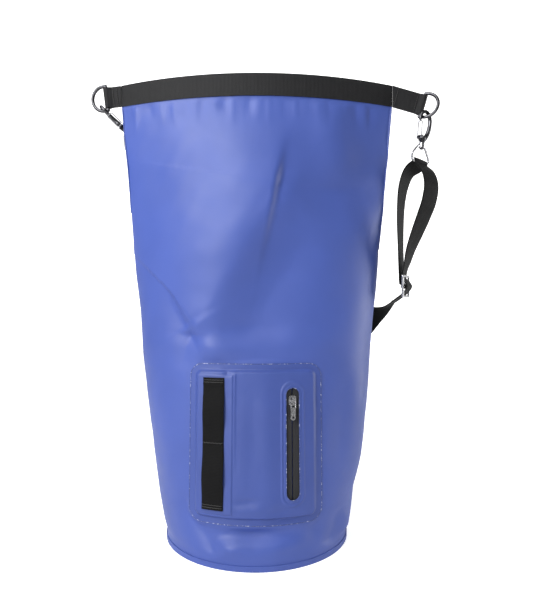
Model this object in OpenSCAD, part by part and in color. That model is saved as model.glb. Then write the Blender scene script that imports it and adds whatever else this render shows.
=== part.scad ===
// Dry bag: a welded tube of coated fabric with a round base, an open mouth held flat by two
// stiffened bands, a welded zip pocket with a daisy chain, and a clip-on shoulder strap.
// Millimetres. The origin is the centre of the base on the ground, the front faces -Y.

/* [Bag] */
// Diameter of the round base
base_d = 220; // [200:1:240]
// Height of the standing bag, mouth open and unrolled
bag_h = 550; // [500:5:600]
// Straight distance between the two corners of the mouth
mouth_w = 333; // [326:1:336]
// Thickness of the coated fabric
wall = 0.8; // [0.6:0.1:1.0]
// Height of the welded rim of the base
foot_h = 15; // [10:1:20]
// Height of the seam tape round the foot
foot_tape_h = 6; // [4:0.5:8]

/* [Webbing] */
// Width of every webbing
web_w = 25; // [24:0.5:26]
// Thickness of the webbing
web_t = 1.4; // [1.2:0.1:1.6]
// Depth of the stiff strip inside each mouth band
stiffener_h = 20; // [16:1:22]
// Length of the left end tab, from the mouth corner to its ring bar
left_tab_len = 18; // [16:1:30]
// Length of the right end tab, from the mouth corner to its ring bar
right_tab_len = 38.5; // [30:0.5:42]
// Droop of the left end tab in degrees
left_droop = 7; // [0:1:12]
// Droop of the right end tab in degrees
right_droop = 16; // [8:1:20]

/* [Pocket] */
// Height of the pocket's lower edge above the ground
pocket_z = 46; // [40:1:60]
// Height of the pocket
pocket_h = 170; // [150:1:180]
// Straight width of the pocket with its weld flange
pocket_w = 146; // [130:1:150]
// Width of the flat weld flange
flange_w = 6; // [4:0.5:9]
// How far the panel stands off the bag
pocket_lift = 4; // [3:0.5:6]
// Distance of the daisy chain's centre from the bag's centre line
chain_x = -45.2; // [-50:0.1:-40]
// Distance of the zip's centre from the bag's centre line
zip_x = 40.6; // [36:0.1:44]
// Length of the zip's window
zip_len = 118; // [100:1:125]
// Width of the zip's window
zip_w = 14; // [12:0.5:16]

/* [Metalwork] */
// Radius of the wire of the D-rings
ring_wire_r = 2; // [1.8:0.1:2.2]
// Straight depth of a D-ring between its bar and its round end
ring_arm = 4.5; // [3:0.5:8]
// Height of a snap hook above its swivel
hook_h = 42; // [38:1:46]
// Radius of the stirrup's bar
stirrup_r = 1.6; // [1.4:0.1:1.8]

/* [Hidden] */

fabric_colour = "#3f4fa0";
web_colour = "#232427";
metal_colour = "#4a4b4f";
bright_colour = "#b9bbc0";
thread_colour = "#141416";

// ---- Shape of the tube: each level keeps the girth of the base, because fabric can't stretch
around_n = 72;
level_n = 26;
base_r = base_d / 2;
rim_zone = 30;
prism_z = bag_h - rim_zone;
widening = 0.72;
depth_steps = 16;
web_gap = 0.1;

function mix(a, b, t) = a + (b - a) * t;
function clamp01(t) = min(1, max(0, t));
function ease(t) = let (c = clamp01(t)) c * c * (3 - 2 * c);
function unit(v) = v / norm(v);
// The part of v that is square to a unit vector, made one long
function square_to(v, up) = unit(v - (v * up) * up);
function sgn_pow(s, q) = sign(s) * pow(abs(s), q);

// 0 on the round foot, 1 at the straight zone below the mouth
function rise(z) = clamp01((z - foot_h) / (prism_z - foot_h));
function half_width(z) = mix(base_r, mouth_w / 2, pow(rise(z), widening));
// 1 gives an ellipse, 2 a lens with two sharp corners
function pointing(z) = 1 + ease((rise(z) - 0.35) / 0.65);
function section(a, b, q, n = around_n) =
  [for (i = [0:n - 1]) [a * cos(360 * i / n), b * sgn_pow(sin(360 * i / n), q)]];
function girth(a, b, q) =
  let (s = section(a, b, q), n = len(s), d = [for (i = [0:n - 1]) norm(s[(i + 1) % n] - s[i])])
  d * [for (i = d) 1];
base_girth = girth(base_r, base_r, 1);
function find_depth(a, q, lo, hi, n) =
  let (m = (lo + hi) / 2)
  n == 0 ? m : girth(a, m, q) > base_girth ? find_depth(a, q, lo, m, n - 1)
                                           : find_depth(a, q, m, hi, n - 1);
levels = concat([0], [for (i = [0:level_n]) mix(foot_h, prism_z, i / level_n)], [bag_h]);
depth_table = [for (z = levels) [z, find_depth(half_width(z), pointing(z), 5, base_r + 1, depth_steps)]];
function half_depth(z) = lookup(z, depth_table);

// A point on the front of the bag, pushed out by lift along -Y and the side slope
function front_y(x, z) =
  let (a = half_width(z), t = clamp01(1 - pow(x / a, 2))) -half_depth(z) * pow(t, pointing(z) / 2);
function front_normal(x, z) =
  let (e = 0.5, sx = (front_y(x + e, z) - front_y(x - e, z)) / (2 * e)) unit([sx, -1, 0]);
function on_front(x, z, lift) = [x, front_y(x, z), z] + lift * front_normal(x, z);
function on_back(x, z, lift) =
  let (p = on_front(x, z, lift)) [p[0], -p[1], p[2]];

// ---- General builders

// A closed sheet between two grids of points; cells where keep(i, j) is false are left out.
// outer and inner are lists of rows; a row runs along x, the rows run up.
module sheet(outer, inner, keep = function (i, j) true) {
  nr = len(outer);
  nc = len(outer[0]);
  m = nr * nc;
  on = function (i, j) i >= 0 && j >= 0 && i < nr - 1 && j < nc - 1 && keep(i, j);
  id = function (i, j) i * nc + j;
  used = [for (i = [0:nr - 1]) [for (j = [0:nc - 1])
    on(i, j) || on(i - 1, j) || on(i, j - 1) || on(i - 1, j - 1)]];
  order = [for (i = [0:nr - 1]) for (j = [0:nc - 1]) used[i][j] ? 1 : 0];
  faces = [for (i = [0:nr - 2]) for (j = [0:nc - 2]) if (on(i, j)) each concat(
    [[id(i, j), id(i + 1, j + 1), id(i + 1, j)], [id(i, j), id(i, j + 1), id(i + 1, j + 1)],
     [m + id(i, j), m + id(i + 1, j), m + id(i + 1, j + 1)],
     [m + id(i, j), m + id(i + 1, j + 1), m + id(i, j + 1)]],
    on(i - 1, j) ? [] : side(id(i, j + 1), id(i, j), m),
    on(i + 1, j) ? [] : side(id(i + 1, j), id(i + 1, j + 1), m),
    on(i, j - 1) ? [] : side(id(i, j), id(i + 1, j), m),
    on(i, j + 1) ? [] : side(id(i + 1, j + 1), id(i, j + 1), m))];
  flat = concat([for (r = outer) each r], [for (r = inner) each r]);
  polyhedron(points = flat, faces = faces, convexity = 8);
}
function side(p, q, m) = [[p, q, m + q], [p, m + q, m + p]];

// A smooth curve through points given by hand, n steps between neighbours
function curve(p, n) =
  let (k = len(p))
  concat([for (i = [0:k - 2]) for (s = [0:n - 1]) spline(p[max(i - 1, 0)], p[i], p[i + 1],
    p[min(i + 2, k - 1)], s / n)], [p[k - 1]]);
function spline(a, b, c, d, t) =
  b + (c - a) * t / 2 + (2 * a - 5 * b + 4 * c - d) * t * t / 2
  + (3 * b - a - 3 * c + d) * t * t * t / 2;
function tangent(p, i) = unit(p[min(i + 1, len(p) - 1)] - p[max(i - 1, 0)]);

// Faces of a tube whose rings of n points follow each other
function tube_faces(rings, n) = concat(
  [for (i = [0:rings - 2]) for (j = [0:n - 1]) let (a = i * n + j, b = i * n + (j + 1) % n)
    each [[a, b, b + n], [a, b + n, a + n]]],
  [[for (j = [n - 1:-1:0]) j]], [[for (j = [0:n - 1]) (rings - 1) * n + j]]);

// Webbing along a path. Each point is [x, y, z, nx, ny, nz] with the direction that its face looks in.
function width_of(q, t) = unit(cross(t, [q[3], q[4], q[5]]));
module ribbon(path, width = web_w, thick = web_t) {
  p = [for (q = path) [q[0], q[1], q[2]]];
  ring = [for (i = [0:len(p) - 1])
    let (t = tangent(p, i), w = width_of(path[i], t), n = cross(t, w), a = w * width / 2, b = n * thick / 2)
    each [p[i] - a + b, p[i] + a + b, p[i] + a - b, p[i] - a - b]];
  polyhedron(points = ring, faces = tube_faces(len(p), 4), convexity = 8);
}

// A round rod along points in one plane; up is that plane's normal
module rod(p, r, up, n = 14) {
  ring = [for (i = [0:len(p) - 1])
    let (t = tangent(p, i), w = unit(cross(t, up)), ri = is_list(r) ? r[i] : r)
    for (j = [0:n - 1]) p[i] + ri * (cos(360 * j / n) * w + sin(360 * j / n) * unit(up))];
  polyhedron(points = ring, faces = tube_faces(len(p), n), convexity = 8);
}

// ---- The tube, its base and its seams
function tube_ring(z, inset) =
  [for (p = section(half_width(z) - inset, half_depth(z) - inset, pointing(z))) [p[0], p[1], z]];

module bag_tube() {
  n = around_n;
  k = len(levels);
  m = n * k;
  points = concat([for (z = levels) each tube_ring(z, 0)], [for (z = levels) each tube_ring(z, wall)]);
  next = function (j) (j + 1) % n;
  walls = [for (i = [0:k - 2]) for (j = [0:n - 1])
    let (a = i * n + j, b = i * n + next(j))
    each [[a, b + n, b], [a, a + n, b + n], [m + a, m + b, m + b + n], [m + a, m + b + n, m + a + n]]];
  rims = [for (j = [0:n - 1]) let (t = (k - 1) * n + j, u = (k - 1) * n + next(j))
    each [[j, next(j), m + next(j)], [j, m + next(j), m + j],
          [t, m + u, u], [t, m + t, m + u]]];
  color(fabric_colour) polyhedron(points = points, faces = concat(walls, rims), convexity = 10);
}

back_tape_w = 24;
back_tape_t = 0.7;
skin_gap = 0.05;
back_tape_gap = 0.15;
tape_levels = concat([foot_tape_h + 2], [for (z = levels) if (z >= foot_h && z < bag_h - web_w - 4) z]);

module back_seam_tape() {
  xs = [for (i = [0:6]) mix(back_tape_w / 2, -back_tape_w / 2, i / 6)];
  color(fabric_colour) sheet(
    [for (z = tape_levels) [for (x = xs) on_back(x, z, back_tape_gap)]],
    [for (z = tape_levels) [for (x = xs) on_back(x, z, back_tape_gap + back_tape_t)]]);
}

module base_disc() {
  r = (base_r - wall) * cos(180 / around_n) - skin_gap;
  color(fabric_colour) difference() {
    cylinder(r = r, h = foot_h, $fn = 96);
    translate([0, 0, wall]) cylinder(r = r - wall, h = foot_h, $fn = 96);
  }
}

module base_seam_tape() {
  tape_lift = 0.5;
  color(fabric_colour) translate([0, 0, tape_lift]) difference() {
    cylinder(r = base_r + skin_gap + 0.8, h = foot_tape_h, $fn = 96);
    translate([0, 0, -1]) cylinder(r = base_r + skin_gap, h = foot_tape_h + 2, $fn = 96);
  }
}

// ---- Mouth: a folded webbing and a stiff strip on each side
band_n = 36;
band_side_gap = 0.15;
band_outer_t = 1.2;
band_inner_t = 0.7;
stiffener_t = 1.0;
stiffener_gap = 0.45;

// One side of the mouth's outline, moved outwards by off
function lip(off) =
  [for (i = [0:band_n]) let (t = -180 * i / band_n)
    [(mouth_w / 2 + off) * cos(t),
     (half_depth(bag_h) + off) * sgn_pow(sin(t), 2) - band_side_gap]];
function reversed(v) = [for (i = [len(v) - 1:-1:0]) v[i]];

module lip_strip(from, to, z, h) {
  translate([0, 0, z]) linear_extrude(height = h) polygon(concat(lip(from), reversed(lip(to))));
}

// The band goes up the outside, over the rim and down the inside
module band() {
  inner = -wall - stiffener_gap - stiffener_t - 2 * skin_gap;
  top = bag_h + skin_gap;
  color(web_colour) union() {
    lip_strip(skin_gap, band_outer_t, bag_h - web_w, web_w + 1);
    lip_strip(inner - band_inner_t, band_outer_t, top, band_outer_t);
    lip_strip(inner - band_inner_t, inner, bag_h - web_w + 4, web_w - 3);
  }
}
module front_band() band();
module back_band() mirror([0, 1, 0]) band();

module stiffener() {
  color("#3a3a3c") lip_strip(-wall - stiffener_gap - stiffener_t, -wall - stiffener_gap,
    bag_h - stiffener_h - 1, stiffener_h);
}
module front_stiffener() stiffener();
module back_stiffener() mirror([0, 1, 0]) stiffener();

// ---- End tabs: webbing folded round the ring's bar, its two legs sewn together
eye_gap = 0.08;
eye_r = ring_wire_r + eye_gap;
eye_out = eye_r + web_t;
neck = 7;
corner_x = mouth_w / 2 + band_outer_t + 0.1;
tab_z = bag_h - web_w / 2 + 0.5;

// Frame of a tab: origin at the mouth's corner, +X outwards along the tab
module at_left() translate([-corner_x, 0, tab_z]) mirror([1, 0, 0]) rotate([0, left_droop, 0]) children();
module at_right() translate([corner_x, 0, tab_z]) rotate([0, right_droop, 0]) children();

module tab(len) {
  leg = [[-5, -skin_gap], [-5, -web_t - skin_gap], [len - neck, -web_t - skin_gap],
         [len - 1, -eye_out], [len, -eye_out], [len, -eye_r], [len - 1, -eye_r],
         [len - neck, -skin_gap]];
  translate([0, 0, -web_w / 2]) union() {
    linear_extrude(height = web_w) polygon(leg);
    linear_extrude(height = web_w) mirror([0, 1]) polygon(leg);
    intersection() {
      difference() {
        translate([len, 0, 0]) cylinder(r = eye_out, h = web_w, $fn = 32);
        translate([len, 0, -1]) cylinder(r = eye_r, h = web_w + 2, $fn = 32);
      }
      translate([len - 0.01, -10, -1]) cube([20, 20, web_w + 2]);
    }
  }
}
// The tabs lean, but their inner edges stand upright against the ends of the bands
module beyond_corner() intersection() {
  children();
  for (s = [-1, 1]) translate([s * (corner_x + 30.3), 0, tab_z]) cube([60, 30, 80], center = true);
}
module left_tab() color(web_colour) beyond_corner() at_left() tab(left_tab_len);
module right_tab() color(web_colour) beyond_corner() at_right() tab(right_tab_len);

stitch_r = 0.35;
stitch_pitch = 2.5;
module stitch_row(x, half_h, y) {
  for (z = [-half_h:stitch_pitch:half_h]) for (s = [-1, 1])
    translate([x, s * y, z]) cylinder(r = stitch_r, h = 1.7, center = true, $fn = 16);
}
module tab_stitching(len) {
  y = web_t + skin_gap + stitch_r;
  color(thread_colour) for (x = [4.5, len - neck - 1.5]) stitch_row(x, web_w / 2 - 2.5, y);
}
module left_tab_stitching() at_left() tab_stitching(left_tab_len);
module right_tab_stitching() at_right() tab_stitching(right_tab_len);

// ---- Pocket: one sheet with a flat flange and a raised middle
panel_t = 0.8;
corner_r = 14;
blend_w = 6;
zip_z = pocket_z + 26;
pocket_top = pocket_z + pocket_h;
row_n = 36;
col_n = 30;

// The rounded outline's half width at height z, and the same outline shrunk by inset
function outline_half(z, inset) =
  let (r = corner_r, hw = pocket_w / 2 - inset,
       d = max(0, max(pocket_z + inset + r - z, z - (pocket_top - inset - r))))
  hw - r + sqrt(max(0, r * r - min(d, r) * min(d, r)));
function rows(inset, n) =
  [for (i = [0:n]) mix(pocket_z + inset, pocket_top - inset, (1 - cos(180 * i / n)) / 2)];

// The raised part is straight up the bag, so the zip lies flat on it
function straight_y(x, z) = mix(front_y(x, pocket_z + flange_w), front_y(x, pocket_top - flange_w),
  (z - pocket_z - flange_w) / (pocket_h - 2 * flange_w));
function raised(x, z) =
  ease((outline_half(z, 0) - abs(x) - flange_w) / blend_w)
  * ease((z - pocket_z - flange_w) / blend_w) * ease((pocket_top - flange_w - z) / blend_w);
function panel_point(x, z, lift) =
  let (k = raised(x, z), n = front_normal(x, z), low = front_y(x, z),
       high = min(straight_y(x, z), low) - pocket_lift)
  [x, mix(low, high, k), z] + (skin_gap + lift) * n;

function near(v, list, i = 0) =
  i >= len(list) ? v : abs(v - list[i]) < 2.4 ? list[i] : near(v, list, i + 1);
window_xs = [zip_x - zip_w / 2, zip_x + zip_w / 2];
window_zs = [zip_z, zip_z + zip_len];
panel_zs = [for (z = rows(0, row_n)) near(z, window_zs)];
panel_us = [for (j = [0:col_n]) mix(-pocket_w / 2, pocket_w / 2, j / col_n)];
function row_x(x, z) =
  let (full = pocket_w / 2, here = outline_half(z, 0)) abs(x) > full - corner_r - 1
  ? sign(x) * mix(full - corner_r - 1, here, (abs(x) - full + corner_r + 1) / (corner_r + 1)) : x;
panel_xs = [for (x = panel_us) near(x, window_xs)];

module pocket_panel() {
  mid = function (v, i) (v[i] + v[i + 1]) / 2;
  keep = function (i, j) !(mid(panel_zs, i) > window_zs[0] && mid(panel_zs, i) < window_zs[1]
    && mid(panel_xs, j) > window_xs[0] && mid(panel_xs, j) < window_xs[1]);
  color(fabric_colour) sheet(
    [for (z = panel_zs) [for (x = panel_xs) panel_point(row_x(x, z), z, 0)]],
    [for (z = panel_zs) [for (x = panel_xs) panel_point(row_x(x, z), z, panel_t)]], keep);
}

reinforcement_t = 0.9;
module pocket_reinforcement() {
  xs = [for (i = [0:8]) mix(chain_x - 15.5, chain_x + 15.5, i / 8)];
  zs = [for (i = [0:20]) mix(pocket_z + 13, pocket_top - 13, i / 20)];
  low = panel_t + skin_gap;
  color(fabric_colour) sheet(
    [for (z = zs) [for (x = xs) panel_point(x, z, low)]],
    [for (z = zs) [for (x = xs) panel_point(x, z, low + reinforcement_t)]]);
}

chain_z0 = pocket_z + 16;
chain_z1 = pocket_top - 14.5;
chain_mid = chain_z0 + 0.5 * (chain_z1 - chain_z0);
loop_lift = 2.4;
chain_w = web_w - 2;
chain_base = panel_t + reinforcement_t + 2 * skin_gap;
function loop_gap(z) =
  let (t = z < chain_mid ? (z - chain_z0) / (chain_mid - chain_z0) : (z - chain_mid) / (chain_z1 - chain_mid))
  loop_lift * pow(sin(180 * clamp01((t - 0.08) / 0.84)), 2);

module daisy_chain() {
  xs = [for (i = [0:4]) mix(chain_x - chain_w / 2, chain_x + chain_w / 2, i / 4)];
  zs = [for (i = [0:40]) mix(chain_z0, chain_z1, i / 40)];
  color(web_colour) sheet(
    [for (z = zs) [for (x = xs) panel_point(x, z, chain_base + loop_gap(z))]],
    [for (z = zs) [for (x = xs) panel_point(x, z, chain_base + loop_gap(z) + web_t)]]);
}

module daisy_bartacks() {
  color(thread_colour) for (z = [chain_z0 + 2.5, chain_z0 + 5, chain_mid, chain_z1 - 5, chain_z1 - 2.5]) {
    zs = [z - 0.5, z + 0.5];
    xs = [for (i = [0:3]) mix(chain_x - chain_w / 2 + 1.5, chain_x + chain_w / 2 - 1.5, i / 3)];
    low = chain_base + web_t + 0.15;
    sheet([for (v = zs) [for (x = xs) panel_point(x, v, low)]],
          [for (v = zs) [for (x = xs) panel_point(x, v, low + 0.5)]]);
  }
}

// ---- Zip, with its teeth on the inner side of the tapes. Its frame has X across, -Y outwards
// and Z up along the teeth from the window's foot.
tape_depth = 1.1;
zip_foot = panel_point(zip_x, zip_z, -tape_depth);
zip_head = panel_point(zip_x, zip_z + zip_len, -tape_depth);
zip_tilt = atan2(zip_head[1] - zip_foot[1], zip_head[2] - zip_foot[2]);
zip_normal = front_normal(zip_x, zip_z + zip_len / 2);
zip_yaw = atan2(zip_normal[0], -zip_normal[1]);
module at_zip() translate(zip_foot) rotate([-zip_tilt, 0, 0]) rotate([0, 0, zip_yaw]) children();

tape_t = 0.6;
tape_half = 8.5;
post_gap = 0.6;
tooth_pitch = 2;
tooth_h = 1.1;
tooth_w = 1.7;
coil_y = tape_t / 2 + 0.05;

// A closed band around an upright oval on the pocket, 6 points a section
function oval(w, h, t) =
  let (c = h / 2 - w / 2, s = sin(t))
  [zip_x + w / 2 * cos(t), zip_z + zip_len / 2 + w / 2 * s + c * sgn_pow(s, 0.15)];
module zipper_window_weld() {
  n = 64;
  low = panel_t + 2 * skin_gap;
  high = low + 0.9;
  widths = [zip_w + 0.6, zip_w + 7, zip_w + 13];
  heights = [zip_len + 1, zip_len + 9, zip_len + 16];
  pt = function (k, i, lift) let (q = oval(widths[k], heights[k], 360 * i / n)) panel_point(q[0], q[1], lift);
  ring = [for (i = [0:n - 1]) each [pt(0, i, low), pt(1, i, low), pt(2, i, low),
                                    pt(2, i, high * 0.8), pt(1, i, high), pt(0, i, high)]];
  faces = [for (i = [0:n - 1]) for (j = [0:5])
    let (a = i * 6 + j, b = i * 6 + (j + 1) % 6, c = ((i + 1) % n) * 6 + j, d = ((i + 1) % n) * 6 + (j + 1) % 6)
    each [[a, b, d], [a, d, c]]];
  color(fabric_colour) polyhedron(points = ring, faces = faces, convexity = 6);
}

module tape_half_strip() translate([post_gap, -tape_t / 2, -4]) cube([tape_half - post_gap, tape_t, zip_len + 8]);
module zipper_tape_left() color(web_colour) at_zip() mirror([1, 0, 0]) tape_half_strip();
module zipper_tape_right() color(web_colour) at_zip() tape_half_strip();

module zipper_coil() {
  color("#2e2f33") at_zip() for (k = [0:floor(zip_len / tooth_pitch) - 1]) for (s = [0, 1])
    mirror([s, 0, 0]) translate([post_gap, coil_y, k * tooth_pitch + 0.5 + s * tooth_pitch / 2])
      cube([tooth_w, tooth_h, 0.95]);
}

module zipper_stops() {
  color(metal_colour) at_zip() for (z = [-2.6, zip_len + 1.2]) for (s = [0, 1])
    mirror([s, 0, 0]) translate([post_gap, -tape_t / 2 - 0.52, z]) cube([2.2, 0.5, 1.8]);
}

slider_w = 8.5;
slider_l = 11;
slider_z = zip_len - 18.5;
crown_z = slider_z + 5.5;
plate_gap = 0.2;
plate_y = -tape_t / 2 - plate_gap;
under_t = 0.7;
under_y = coil_y + tooth_h + plate_gap;
crown_y = plate_y - 2.4;
pull_r = 0.6;
pull_axis_y = crown_y - pull_r - 0.15;
crown_bar_y = pull_axis_y - pull_r - 0.15;

module rounded_plate(w, l, t, r) {
  hull() for (x = [-1, 1]) for (z = [0, 1])
    translate([x * (w / 2 - r), 0, r + z * (l - 2 * r)]) rotate([90, 0, 0]) cylinder(r = r, h = t, $fn = 24);
}
module zipper_slider() {
  color(bright_colour) at_zip() translate([0, 0, slider_z]) union() {
    translate([0, plate_y, 0]) rounded_plate(slider_w, slider_l, 1.4, 2.5);
    translate([0, under_y + under_t, 0]) rounded_plate(slider_w, slider_l, under_t, 2.5);
    translate([-post_gap + 0.2, plate_y - 0.1, slider_l - 4])
      cube([2 * post_gap - 0.4, under_y - plate_y + 0.3, 2.5]);
    translate([-1, crown_bar_y - 1, 1.4]) cube([2, 1, 8.2]);
    for (z = [1.4, 8.4]) translate([-1, crown_bar_y - 0.5, z]) cube([2, crown_y + 0.7 - crown_bar_y, 1.2]);
  }
}

// A straight rod with round ends between two points
module link(a, b, r) {
  d = b - a;
  l = norm(d);
  translate(a) rotate([0, acos(d[2] / l), atan2(d[1], d[0])]) cylinder(r = r, h = l, $fn = 24);
  translate(a) sphere(r = r, $fn = 24);
  translate(b) sphere(r = r, $fn = 24);
}

pull_half = 2.4;
pull_link_l = 8;
pull_tab_l = 13;
module zipper_pull() {
  color(bright_colour) at_zip() translate([0, pull_axis_y, crown_z]) union() {
    link([-pull_half, 0, 0], [pull_half, 0, 0], pull_r);
    for (s = [-1, 1]) link([s * pull_half, 0, 0], [s * pull_half, -0.3, -pull_link_l], pull_r);
    link([-pull_half, -0.3, -pull_link_l], [pull_half, -0.3, -pull_link_l], pull_r);
    difference() {
      translate([0, 0.3, -pull_link_l - pull_tab_l]) rounded_plate(5.6, pull_tab_l + 1, 1.2, 2.6);
      translate([0, 5, -pull_link_l - pull_tab_l + 3]) rotate([90, 0, 0]) cylinder(r = 1.2, h = 10, $fn = 24);
    }
  }
}

// ---- D-rings: a straight bar in the tab's eye, two short arms and a round end
ring_r = web_w / 2 + 0.5 + ring_wire_r;
left_swing = -14;
right_swing = 30;
module d_ring(len, swing) {
  color(metal_colour) translate([len, 0, 0]) rotate([0, 0, -swing]) union() {
    cylinder(r = ring_wire_r, h = 2 * ring_r, center = true, $fn = 32);
    for (s = [-1, 1]) {
      translate([0, 0, s * ring_r]) sphere(r = ring_wire_r, $fn = 32);
      translate([0, 0, s * ring_r]) rotate([0, 90, 0]) cylinder(r = ring_wire_r, h = ring_arm, $fn = 32);
    }
    translate([ring_arm, 0, 0]) rotate([90, 0, 0]) rotate([0, 0, -90])
      rotate_extrude(angle = 180, $fn = 64) translate([ring_r, 0]) circle(r = ring_wire_r, $fn = 32);
  }
}
module left_d_ring() at_left() d_ring(left_tab_len, left_swing);
module right_d_ring() at_right() d_ring(right_tab_len, right_swing);

// The top of a ring's wire at its lowest point; side is 1 on the right and -1 on the left
function ring_seat(side, len, droop, swing) =
  let (out = [side * cos(droop), 0, -sin(droop)], up = [side * sin(droop), 0, cos(droop)],
       e = cos(swing) * out - [0, sin(swing), 0], k = unit([-e[2], -up[2]]))
  [side * corner_x, 0, tab_z] + len * out + ring_arm * e + ring_r * (k[0] * e + k[1] * up)
  + [0, 0, ring_wire_r];

// ---- Snap hooks. A hook's frame has Z up its swivel, X towards its spine, Y along its gate's pin.
seat_x = 0;
seat_z = hook_h - 8.1;
hook_path = [[0, 2.5], [3.6, 6.5], [7, 13], [8.6, 21], [8.2, 29], [5.2, 35.6], [0.4, 38.4], [-4.6, 36.4],
             [-7, 31.6], [-7.2, 28.2]];
hook_radii = [3.2, 3.1, 2.8, 2.5, 2.4, 2.3, 2.2, 2.1, 1.9, 1.7];
pin_x = -4.6;
pin_z = 6.4;
pin_r = 0.9;
ear_half = 2.4;
gate_r = 0.75;
gate_half = 3.4;

right_seat = ring_seat(1, right_tab_len, right_droop, right_swing);
left_seat = ring_seat(-1, left_tab_len, left_droop, left_swing);
right_up = unit([7, 0, 59]);
left_up = unit([-40, -17, 38]);
right_spine = [cos(28), sin(28), 0];
left_spine = [0, 1, 0];

function frame_of(up, v, o) =
  let (x = square_to(v, up), y = cross(up, x))
  [[x[0], y[0], up[0], o[0]], [x[1], y[1], up[1], o[1]], [x[2], y[2], up[2], o[2]], [0, 0, 0, 1]];
function hook_origin(seat, up, v) = seat - seat_z * up - seat_x * square_to(v, up);
right_origin = hook_origin(right_seat, right_up, right_spine);
left_origin = hook_origin(left_seat, left_up, left_spine);
module at_right_hook() multmatrix(frame_of(right_up, right_spine, right_origin)) children();
module at_left_hook() multmatrix(frame_of(left_up, left_spine, left_origin)) children();

module hook() {
  k = 4;
  path = curve([for (q = hook_path) [q[0], 0, q[1]]], k);
  radii = [for (i = [0:len(path) - 1]) lookup(i / k, [for (j = [0:len(hook_radii) - 1]) [j, hook_radii[j]]])];
  color(metal_colour) difference() {
    union() {
      rod(path, radii, [0, 1, 0], 16);
      translate([-7.2, 0, 28.2]) sphere(r = 1.9, $fn = 24);
      cylinder(r1 = 3.3, r2 = 3.8, h = 2, $fn = 32);
      translate([0, 0, 2]) cylinder(r = 3.8, h = 4, $fn = 32);
      translate([pin_x, ear_half, pin_z]) rotate([90, 0, 0]) cylinder(r = 2.3, h = 2 * ear_half, $fn = 32);
      translate([pin_x, -ear_half, 2]) cube([5, 2 * ear_half, 5]);
    }
    translate([pin_x, 10, pin_z]) rotate([90, 0, 0]) cylinder(r = pin_r + 0.02, h = 20, $fn = 24);
  }
}
module gate_pin() {
  color(bright_colour) translate([pin_x, gate_half + 1.1, pin_z]) rotate([90, 0, 0])
    cylinder(r = pin_r, h = 2 * gate_half + 2.2, $fn = 24);
}
// One bent wire between two small eyes on the pin
module gate() {
  foot = [pin_x - 0.6, 0, pin_z + 1.4];
  top = [-7.1, 0, 25.3];
  wide = [0, gate_half, 0];
  lean = unit(top - foot);
  bend = [for (t = [0:30:90]) top - 1.6 * (1 - sin(t)) * lean + wide - [0, 1.6 * (1 - cos(t)), 0]];
  leg = concat([foot + wide], bend);
  path = concat(leg, [for (q = reversed(leg)) [q[0], -q[1], q[2]]]);
  color(bright_colour) union() {
    rod(path, gate_r, cross([0, 1, 0], lean), 12);
    for (s = [-1, 1]) difference() {
      translate([pin_x, s * gate_half, pin_z]) rotate([90, 0, 0]) cylinder(r = 2.1, h = 1.4, center = true, $fn = 32);
      translate([pin_x, s * gate_half, pin_z]) rotate([90, 0, 0])
        cylinder(r = pin_r + 0.06, h = 4, center = true, $fn = 32);
    }
  }
}
post_r = 1.7;
boss_top = -0.4;
boss_h = 6;
module swivel_post() {
  color(metal_colour) union() {
    translate([0, 0, boss_top - boss_h - 0.3]) cylinder(r = post_r, h = boss_h + 0.7, $fn = 32);
    translate([0, 0, boss_top - boss_h - 1.9]) cylinder(r1 = 1.9, r2 = 2.8, h = 1.6, $fn = 32);
  }
}
bar_z = -24;
stirrup_half = web_w / 2 + 2.6 + stirrup_r;
// A boss that turns on the post, and a bent bar that the webbing hangs from
module stirrup() {
  drop = boss_top - 3.4;
  arm = [[2.9, drop], [5.5, drop - 0.6], [9.5, drop - 4.2], [13, drop - 8.4], [stirrup_half - 0.3, drop - 12.4],
         [stirrup_half, bar_z + 3.4], [stirrup_half - 1, bar_z + 1], [stirrup_half - 3.4, bar_z], [4, bar_z]];
  path = curve([for (q = concat(arm, [for (q = reversed(arm)) [-q[0], q[1]]])) [q[0], 0, q[1]]], 3);
  color(bright_colour) union() {
    rod(path, stirrup_r, [0, 1, 0], 14);
    difference() {
      translate([0, 0, boss_top - boss_h]) cylinder(r = 3.8, h = boss_h, $fn = 32);
      translate([0, 0, boss_top - boss_h - 1]) cylinder(r = post_r + 0.06, h = boss_h + 2, $fn = 32);
    }
  }
}
module left_hook() at_left_hook() hook();
module left_gate() at_left_hook() gate();
module left_gate_pin() at_left_hook() gate_pin();
module left_swivel_post() at_left_hook() swivel_post();
module right_hook() at_right_hook() hook();
module right_gate() at_right_hook() gate();
module right_gate_pin() at_right_hook() gate_pin();
module right_swivel_post() at_right_hook() swivel_post();

// The stirrups turn on the posts with the webbing, so they have their own direction
right_web_angle = 40;
left_web = [38, 0, 40];
module at_right_stirrup()
  multmatrix(frame_of(right_up, [cos(right_web_angle), sin(right_web_angle), 0], right_origin)) children();
module at_left_stirrup() multmatrix(frame_of(left_up, left_web, left_origin)) children();
module right_stirrup() at_right_stirrup() stirrup();
module left_stirrup() at_left_stirrup() stirrup();

// ---- Shoulder strap
right_bar = right_origin + bar_z * right_up;
wrap_r = stirrup_r + 0.4 + web_t / 2;
right_side = square_to([cos(right_web_angle), sin(right_web_angle), 0], right_up);
right_face = cross(right_side, right_up);
// Points of upright strands whose width runs at angle a: the far one climbs, the near one comes down
function climb(p, a) = [p[0], p[1], p[2], -sin(a), cos(a), 0];
function fall(p, a) = [p[0], p[1], p[2], sin(a), -cos(a), 0];
function round_bar(t) =
  let (n = sin(90 * t) * right_face + cos(90 * t) * right_up) concat(right_bar + wrap_r * n, n);
function off_bar(s) = concat(right_bar + s * wrap_r * right_face - 3.5 * right_up, s * right_face);

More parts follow.
